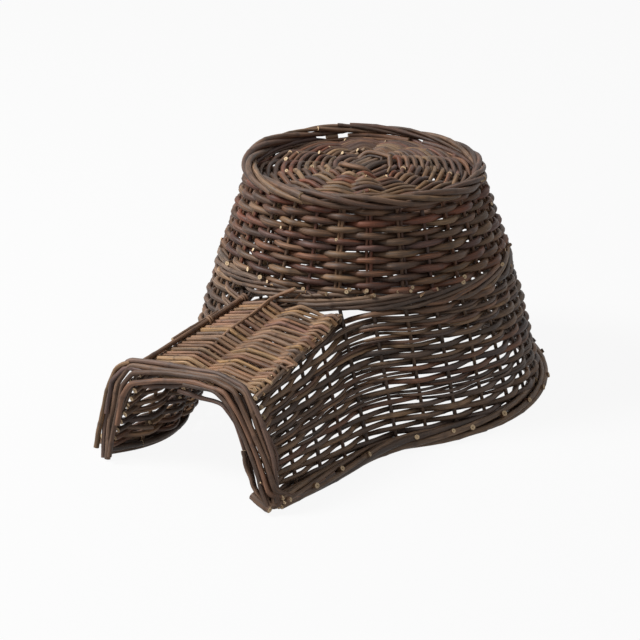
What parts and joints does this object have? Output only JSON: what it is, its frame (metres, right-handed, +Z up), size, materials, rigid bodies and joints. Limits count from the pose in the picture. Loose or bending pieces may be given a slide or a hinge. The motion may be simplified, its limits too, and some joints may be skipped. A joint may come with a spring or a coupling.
{
  "type": "hedgehog house",
  "caption": "Woven willow hedgehog house: a round domed basket with a recessed woven roof, open below, and a low woven entrance tunnel leading in at the front.",
  "frame": {"origin": "on the ground, under the middle of the whole part", "axes": "+Z up, the tunnel runs towards -Y and the house stands towards +Y, +X to the right seen from the tunnel's mouth"},
  "size_m": [0.4196, 0.5751, 0.2668],
  "materials": {
    "bark": "unpeeled willow bark, brown",
    "dark_bark": "unpeeled willow bark, dark brown",
    "red_bark": "unpeeled willow bark, red brown",
    "tan_bark": "unpeeled willow bark, tan"
  },
  "bodies": {
    "root": {"base_long_sticks": "bark", "base_cross_sticks": "bark", "base_binding": "tan_bark", "base_weave": "bark", "rim_wale": "bark", "upper_stakes": "dark_bark", "upper_weave_a": "bark", "upper_weave_b": "red_bark", "waist_wale": "dark_bark", "lower_stakes": "dark_bark", "lower_weave_a": "bark", "lower_weave_b": "dark_bark", "side_stakes_right": "dark_bark", "side_stakes_left": "dark_bark", "foot_wale": "bark", "ground_rod": "bark", "roof_ribs": "tan_bark", "roof_edge_right": "dark_bark", "roof_edge_left": "dark_bark", "tunnel_weave_a": "tan_bark", "tunnel_weave_b": "tan_bark", "edge_ties": "tan_bark", "arch_back_rods": "bark", "arch_front_rods": "dark_bark"}
  },
  "joints": []
}
